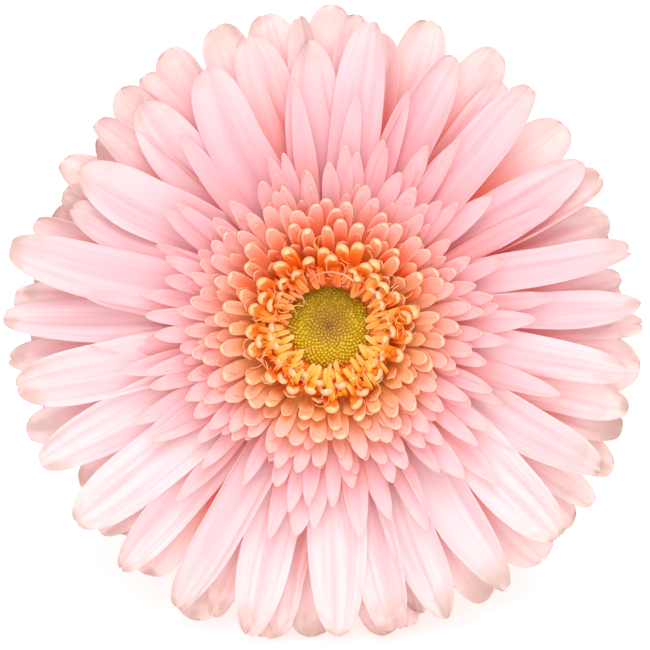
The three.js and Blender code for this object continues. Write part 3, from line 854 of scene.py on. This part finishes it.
def add_crest(clump, azimuth, reach, width, foot, filler=False):
    """One crest floret: a tongue with a groove along it and a hood at its end, blunter and more hooded
    the nearer it is to the disc. A filler stands lower between the others, and has no hood."""
    outward = float(np.clip((reach - 18) / 22, 0, 1))
    hooded = 0.0 if filler else (1 - outward) ** 1.5
    start = 0.82 - 0.34 * outward
    blunt = uniform(1.9, 2.4) - 0.6 * outward
    share = rounded(8, 6, start) if filler else rounded(14, 12, start)
    slope = math.radians(np.interp(reach, [15, 20, 26, 34, 44], [54, 46, 35, 20, 9]))
    tip = (reach, crest_height(reach) - (FILLER_DROP if filler else 0.0))
    foot = (foot[0] - crown_lean(azimuth), foot[1])
    path = rising_path(foot, tip, slope + uniform(-0.15, 0.15), share)
    path = curl_up(path, share, 0.89, (0.35 + 1.55 * hooded) * uniform(0.7, 1.15))
    path[:, 0] += uniform(-0.9, 0.9) * share**2
    end_width = 0.16 - 0.1 * outward
    half = width / 2 * crest_outline(share, start, blunt, end_width)
    body = uniform(-0.8, 0.2) + 0.8 * hooded
    hood = uniform(0.4, 1.1) + 0.5 * hooded
    cup = body + (hood - body) * ease(share, 0.75, 0.95)
    crease = 0.1 * width * uniform(0.2, 1)
    relief = lambda s, t: -crease * np.exp(-((t / 0.2) ** 2)) * (1 - ease(s, 0.75, 0.92))
    corner = 0.8 * end_width * width / 2
    advance = lambda s, t: -corner * corner_fall(t) * ease(s, start, 1.0)
    floret = blade(
        path, share, half, CREST_THICKNESS, cup=cup, relief=relief, advance=advance,
        twist=uniform(-0.25, 0.25) * (1 - 0.4 * outward), columns=7 if filler else 11)
    if filler:
        floret = map_span(floret, 0.0, 0.95)
    place = float(np.clip((reach - 12) / 32, 0, 1))
    clump.add(floret, azimuth, (place, tone_and_top_shade(azimuth)))


def make_crest():
    """The three crowns of crest florets."""
    material = crest_material()
    # Crowns as (name, reach that all its tips pass, gap between tips, widths, foot)
    crowns = [
        ("outer", 34.0, 1.6, (4.0, 5.2), (15.0, 3.5)),
        ("middle", 28.0, 1.2, (2.9, 3.7), (13.0, 4.0)),
    ]
    for crown, nearest, apart, widths, foot in crowns:
        clump = Clump()
        for azimuth, reach in crown_tips(f"trans_florets_{crown}", nearest, apart):
            add_crest(clump, azimuth, reach, uniform(*widths), foot)
        clump.build(f"crest_petals_{crown}", material, "crest_petal", f"trans_florets_{crown}")

    inner = Clump()
    for azimuth, reach in CREST_INNER:
        foot = 9.8 + 0.14 * (reach - 20)
        add_crest(inner, azimuth, reach, uniform(2.7, 3.2), foot=(foot, 3.0))
    for azimuth, reach in CREST_FIRST:
        add_crest(inner, azimuth, reach, uniform(2.2, 2.6), foot=(9.3, 2.5))
    for place in range(FILLER_COUNT):
        azimuth, reach = place * GOLDEN_ANGLE, 13.5 + 14.0 * place / FILLER_COUNT
        add_crest(inner, azimuth, reach, uniform(2.3, 2.8), foot=(9.5, 2.0), filler=True)
    inner.build("crest_petals_inner", material, "crest_petal", "trans_florets_inner")


# ---- disc florets
def add_knob(clump, azimuth, reach):
    """A knob: an orange strap, hollow along its length, with a thick hood at its end."""
    tip = (reach, crest_height(reach))
    slope = math.radians(np.interp(reach, [10, 12, 14, 17], [58, 50, 44, 40]))
    start = 0.85
    share = rounded(12, 12, start)
    foot = np.interp(reach, [10, 13, 17], [8.2, 8.6, 9.0]) - crown_lean(azimuth)
    foot_height = np.interp(reach, [10, 13, 17], [3.0, 4.2, 4.6])
    path = rising_path((foot, foot_height), tip, slope, share)
    path = curl_up(path, share, 0.84, uniform(1.1, 2.1))
    path[:, 0] += uniform(-1.0, 1.0) * share**2
    size = uniform(0.85, 1.1) + 0.035 * (reach - 10)
    half = size * crest_outline(share, start, uniform(1.8, 2.4), 0.16)
    cup = uniform(0.5, 1.2) + uniform(0.3, 0.9) * ease(share, 0.75, 0.95)
    knob = blade(path, share, half, KNOB_THICKNESS, cup=cup, twist=uniform(-0.5, 0.5), columns=11)
    outward = float(np.clip((reach - 10) / 10, 0, 1))
    clump.add(knob, azimuth, (outward, tone_and_top_shade(azimuth)))


def add_star(clump, azimuth, reach, height):
    """A small open floret: a few narrow lobes that roll back from its mouth, and its tube."""
    lobes = rng.integers(2, 5)
    size = uniform(0.8, 1.15)
    lean = uniform(-0.8, 0.3)
    start = uniform(0, 360)
    line = np.array([(0, 0.1, -0.6), (0, 0.25, 0.2), (0, 0.6, 0.7), (0, 1.1, 0.65), (0, 1.4, 0.2)])
    share = rounded(6, 5, 0.75)
    half = 0.4 * size * np.sqrt(np.maximum(1 - np.clip((share - 0.75) / 0.25, 0, 1) ** 2, 0.01))
    for lobe in range(lobes):
        path = curve_through(line * size * uniform(0.7, 1.25), share)
        points, faces, flat = map_span(blade(path, share, half, 0.22, cup=0.7, columns=5), 0.3, 1.0)
        points = turn(points, start + 360 * lobe / lobes + uniform(-30, 30))
        points[:, 1] += lean * points[:, 2]
        clump.add((points + (0, reach, height), faces, flat), azimuth, (0.0, tone_and_top_shade(azimuth)))
    stem = rising_path((reach - 0.3 * (reach - 8.5), 2.0), (reach, height), math.radians(80), even(8))
    clump.add(map_span(tube(stem, 0.48 * size), 0.0, 0.3), azimuth, (0.0, tone_and_top_shade(azimuth)))


def make_open_florets():
    """The knobs in two rings, and the small open florets in three rings inside them."""
    knobs = Clump()
    for azimuth, reach in KNOBS:
        add_knob(knobs, azimuth, reach)
    knobs.build("knob_disc_florets", knob_material(), "disc_floret", "disc_florets_open")

    stars = Clump()
    for place in range(STAR_COUNT):
        azimuth = BARE_TOP + (360 - 2 * BARE_TOP) * place / (STAR_COUNT - 1) + uniform(-4, 4)
        reach = 9.4 + 1.2 * (place % 3) + uniform(-0.4, 0.4)
        add_star(stars, azimuth, reach, crest_height(reach) - uniform(0.8, 1.8))
    stars.build("open_disc_florets", star_material(), "disc_floret")


def make_hooked_florets():
    """Closed florets that lean in over the edge of the buds, in rings."""
    clump = Clump()
    for ring, (count, reach, height, bare) in enumerate(HOOKED_RINGS):
        for place in range(count):
            azimuth = bare + (360 - 2 * bare) * place / count + uniform(-4, 4)
            tip = DISC_RADIUS + reach + uniform(-1.1, 0.9)
            foot = tip + uniform(2.0, 3.4)
            top = height + uniform(-0.3, 0.6)
            line = [
                (0, foot - 0.2, 2.5), (0, foot + 0.2, 5.5), (0, foot - 0.5, top + 0.4), (0, tip, top),
            ]
            start = uniform(0.7, 0.88)
            share = rounded(10, 7, start)
            path = curve_through(line, share)
            path[:, 0] += uniform(-1.4, 1.4) * share**2
            half = uniform(0.42, 0.72) * crest_outline(share, start, 2.0, uniform(0.12, 0.4))
            floret = blade(path, share, half, 0.36, cup=uniform(-1.3, 0.9),
                           twist=uniform(-0.9, 0.9), columns=7)
            clump.add(floret, azimuth, (ring / 2, tone_and_top_shade(azimuth)))
    clump.build("hooked_disc_florets", hooked_material(), "disc_floret", "disc_florets_hooked")


def make_styles():
    """Thin styles that curl between the disc florets."""
    clump = Clump()
    arc = curve_through(STYLE_ARC, even(30))
    clump.add(tube(arc, 0.17, sides=6, reference=(0.0, 0.0, 1.0)), 0, (0.0, 0.0))
    steps = 16
    for _ in range(STYLE_COUNT):
        azimuth = uniform(0, 360)
        near = uniform(8.0, 13.5)
        length = uniform(2.2, 4.6)
        heading = uniform(0, 2 * math.pi)
        curve = rng.choice((-1, 1)) * uniform(0.25, 0.8)
        run = np.linspace(0, length, steps)
        x = np.cumsum(np.cos(heading + curve * run)) * length / steps
        y = np.cumsum(np.sin(heading + curve * run)) * length / steps
        z = np.sin(math.pi * np.clip(run / length * 1.15, 0, 1)) * 0.9 - 0.6
        path = np.stack([x, near + y, crest_height(near) - 0.3 + z], axis=1)
        style = tube(path, uniform(0.08, 0.13), sides=5, reference=(0.1, 0.1, 0.99))
        clump.add(style, azimuth, (0.0, uniform(0, 1)))
    clump.build("disc_styles", style_material(), "disc_floret")


# ---- disc buds
def dome_height(distance):
    """The height of the bud dome, with a small pit at its centre."""
    return 7.0 - 0.05 * distance**2 - 0.9 * np.exp(-((distance / 1.1) ** 2))


def make_buds():
    """Buds in spirals on a dome."""
    clump = Clump()
    distance = np.array([DISC_RADIUS, 6.0, 4.8, 3.6, 2.4, 1.2, 0.0])
    skirt = [(0.0, 1.0), (DISC_RADIUS + 0.3, 1.0)]
    dome = turned(skirt + list(zip(distance, dome_height(distance) - 0.15)), 40)
    share = np.minimum(np.hypot(dome[0][:, 0], dome[0][:, 1]) / DISC_RADIUS, 1)
    clump.add(dome, 0, np.stack([share, 0.5 + 0 * share], axis=1))

    for place in range(BUD_COUNT):
        out = DISC_RADIUS * math.sqrt((place + 0.5) / BUD_COUNT)
        size = 0.335 * (0.75 + 0.25 * min(1.0, out / 4)) * uniform(0.85, 1.15)
        azimuth = math.radians(place * GOLDEN_ANGLE) + uniform(-0.1, 0.1) / max(out, 0.5)
        out += uniform(-0.08, 0.08)
        tilt = 0.1 * out + uniform(-0.15, 0.15)
        lean = unit(np.array([math.sin(azimuth) * tilt, math.cos(azimuth) * tilt, 1.0]))
        base = np.array([out * math.sin(azimuth), out * math.cos(azimuth), dome_height(out) - 0.2])
        path = base + np.linspace(0, 1, 5)[:, None] * lean * uniform(0.38, 0.56)
        radius = size * np.array([1.0, 1.02, 0.86, 0.55, 0.1])
        share = min(1.0, out / DISC_RADIUS)
        # How dark the bud's colour is: random tone plus painted shade towards the top, evened out
        # towards the middle of the dome.
        depth = 0.5 + share * (tone_and_top_shade(math.degrees(azimuth)) - 0.5)
        clump.add(tube(path, radius, sides=7), 0, (share, depth))
    clump.build("disc_bud_cluster", bud_material(), "disc_bud", "disc_buds")


# ---- behind the head
def make_involucre():
    """A green cup covered by three rows of overlapping bracts."""
    clump = Clump()
    profile = [(0.0, -15.9), (3.3, -15.9), (5.2, -13.7), (9.3, -10.7), (12.8, -7.8), (15.0, -6.5),
               (14.3, -6.1), (9.0, -8.2), (0.0, -9.5)]
    clump.add(turned(profile, 48, flat=(0.3, 0.5)), 0, (0.0, 0.5))

    # Rows of bracts as (count, width, their centre line as (distance, height) from foot to tip)
    rows = [
        (19, 4.2, [(3.9, -15.3), (6.6, -13.3), (10.2, -11.2)]),
        (23, 4.0, [(5.4, -13.8), (10.2, -11.1), (14.6, -8.2), (16.4, -7.2)]),
        (26, 3.4, [(9.2, -11.1), (14.2, -7.7), (18.2, -5.8), (21.2, -4.8)]),
    ]
    for row, (count, width, line) in enumerate(rows):
        for place in range(count):
            azimuth = 360 * (place + 0.5 * (row % 2)) / count + uniform(-2, 2)
            share = rounded(8, 6, 0.6)
            path = curve_through([(0, d, h - 0.25) for d, h in line], share)
            path[:, 2] -= uniform(0.0, 0.7) * share**3
            end = np.clip((share - 0.3) / 0.7, 0, 1) ** 1.5
            half = width / 2 * (0.85 + 0.15 * ease(share, 0, 0.3)) * np.maximum(1 - end, 0.04)
            bract = blade(path, share, half, 0.5, cup=0.2, columns=7)
            clump.add(bract, azimuth, (row / 2, uniform()))
    clump.build("involucre_bracts", bract_material(), "bract", "involucre")


def make_stalk():
    """The stalk, along its CAD solid's centre line, with shallow ribs and a cut end."""
    rings = stations(cad_points("scape"), 1, 0.0025)
    line = np.array([ring.mean(0) for ring in rings])
    thick = [np.linalg.norm(ring - ring.mean(0), axis=1).mean() for ring in rings]
    line[0] += STALK_SINK * MM * unit(line[0] - line[1])
    share = even(120)
    path = curve_through(line, share)
    radius = np.interp(share, arc_share(line), thick)
    angle = steps_around(32)
    ribs = (1 + 0.018 * np.cos(8 * angle)) * (1 - 0.015 * np.cos(2 * angle))
    points, faces, flat = tube(path, radius, sides=len(angle), relief=ribs)
    clump = Clump()
    clump.add((to_head(points), faces, flat), 0, (0.0, 0.5))
    clump.build("stalk", stalk_material(), "scape", "scape")


def make_receptacle():
    """The CAD solid carried over, and the flesh that the feet of the disc florets grow from."""
    flesh = flesh_material()
    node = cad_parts["receptacle"]
    node.data.materials.clear()
    node.data.materials.append(flesh)
    bed = Clump()
    profile = [(0.0, 0.6), (14.0, 0.6), (15.6, 1.4), (13.8, 3.0), (11.0, 3.8), (9.6, 4.2), (8.4, 4.0),
               (7.0, 3.0), (0.0, 1.0)]
    bed.add(turned(profile, 48), 0, (0.0, 0.5))
    bed.build("floret_bed", flesh, "flesh")


# ---- stage
def make_floor():
    """A white surface that glows a little, so that it stays white around the flower."""
    size = 3.0
    corners = [(-size, -size, 0), (size, -size, 0), (size, size, 0), (-size, size, 0)]
    mesh = bpy.data.meshes.new("floor")
    mesh.from_pydata(corners, [], [(0, 1, 2, 3)])
    floor = bpy.data.objects.new("floor", mesh)
    scene.collection.objects.link(floor)
    g = Graph("floor")
    speckle = g.noise(g.node("TexCoord").outputs["Object"], 40.0)
    base = g.mix(g.times(speckle, 0.04), (250, 250, 250), (244, 244, 246))
    mesh.materials.append(g.finish(base, 0.9, specular=0.1, Emission_Color=base,
                                   Emission_Strength=0.32))


def set_up(item, place, target):
    """Puts a light or the camera in its place, looking at a target."""
    item.location = place
    item.rotation_euler = (Vector(target) - Vector(place)).to_track_quat("-Z", "Y").to_euler()
    scene.collection.objects.link(item)


def add_light(name, offset, size, power):
    """A round light that looks at the head, offset from it in metres."""
    data = bpy.data.lights.new(name, "AREA")
    data.shape = "DISK"
    data.size = size
    data.energy = power
    set_up(bpy.data.objects.new(name, data), CENTRE + offset, CENTRE)


def make_lights():
    """A large light from above, a fill from the front, and an even white sky."""
    add_light("key_light", (0.15, -0.5, 1.2), 1.0, 9.3)
    add_light("front_fill", (-0.2, -1.3, 0.55), 1.2, 7.3)
    world = bpy.data.worlds.new("studio")
    world.use_nodes = True
    sky = world.node_tree.nodes["Background"]
    sky.inputs["Color"].default_value = (1.0, 1.0, 1.0, 1.0)
    sky.inputs["Strength"].default_value = 0.70
    scene.world = world


def make_camera():
    """On the head's axis, as far back as a long lens needs."""
    distance = 0.9
    frame_width = 117.0 * MM
    aim = to_frame(np.array([-0.7, 0.2, 4.0]))
    data = bpy.data.cameras.new("camera")
    data.sensor_width = 36.0
    data.lens = data.sensor_width * distance / frame_width
    camera = bpy.data.objects.new("camera", data)
    set_up(camera, aim + FACE * distance, aim)
    scene.camera = camera


def set_exposure():
    """Plain colours, and enough bounces for the light that passes from petal to petal."""
    scene.cycles.max_bounces = 24
    scene.cycles.diffuse_bounces = 16
    scene.cycles.transmission_bounces = 16
    view = scene.view_settings
    view.view_transform = "Standard"
    view.look = "None"


make_camera()
make_rays()
make_crest()
make_open_florets()
make_hooked_florets()
make_styles()
make_buds()
make_involucre()
make_stalk()
make_receptacle()
make_floor()
make_lights()
set_exposure()
